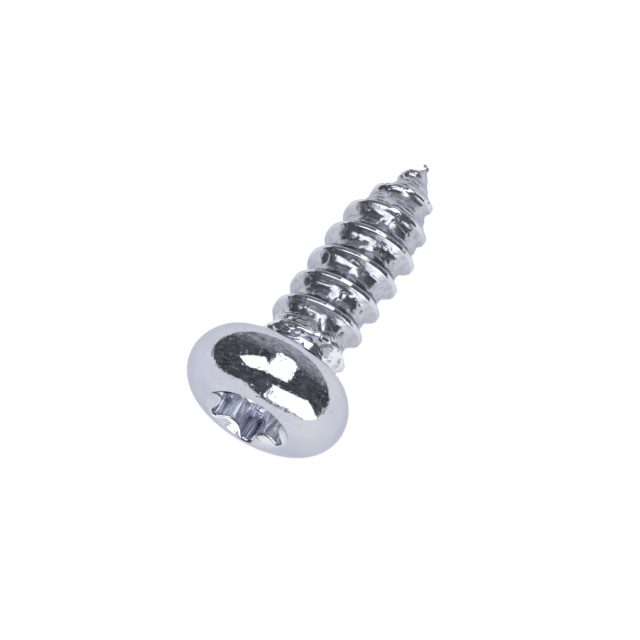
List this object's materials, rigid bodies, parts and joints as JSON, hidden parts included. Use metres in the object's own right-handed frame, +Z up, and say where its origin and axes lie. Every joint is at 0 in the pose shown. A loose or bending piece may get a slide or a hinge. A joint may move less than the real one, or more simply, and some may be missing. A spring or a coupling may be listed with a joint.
{
  "type": "screw",
  "caption": "Pan head tapping screw with a coarse right-hand thread, a cone point and a lobed star socket, for fastening into sheet metal or plastic.",
  "frame": {"origin": "centre of the bearing face under the head, on the screw's axis", "axes": "+Z up with the screw at rest on its side; the tip points towards +X and slightly down, and the screw's axis lies in the XZ plane, tilted 10.81 degrees tip down from +X"},
  "size_m": [0.0158, 0.0076, 0.0076],
  "materials": {
    "zinc_plate": "bright blue zinc plate on steel"
  },
  "bodies": {
    "root": {"screw": "zinc_plate"}
  },
  "joints": []
}
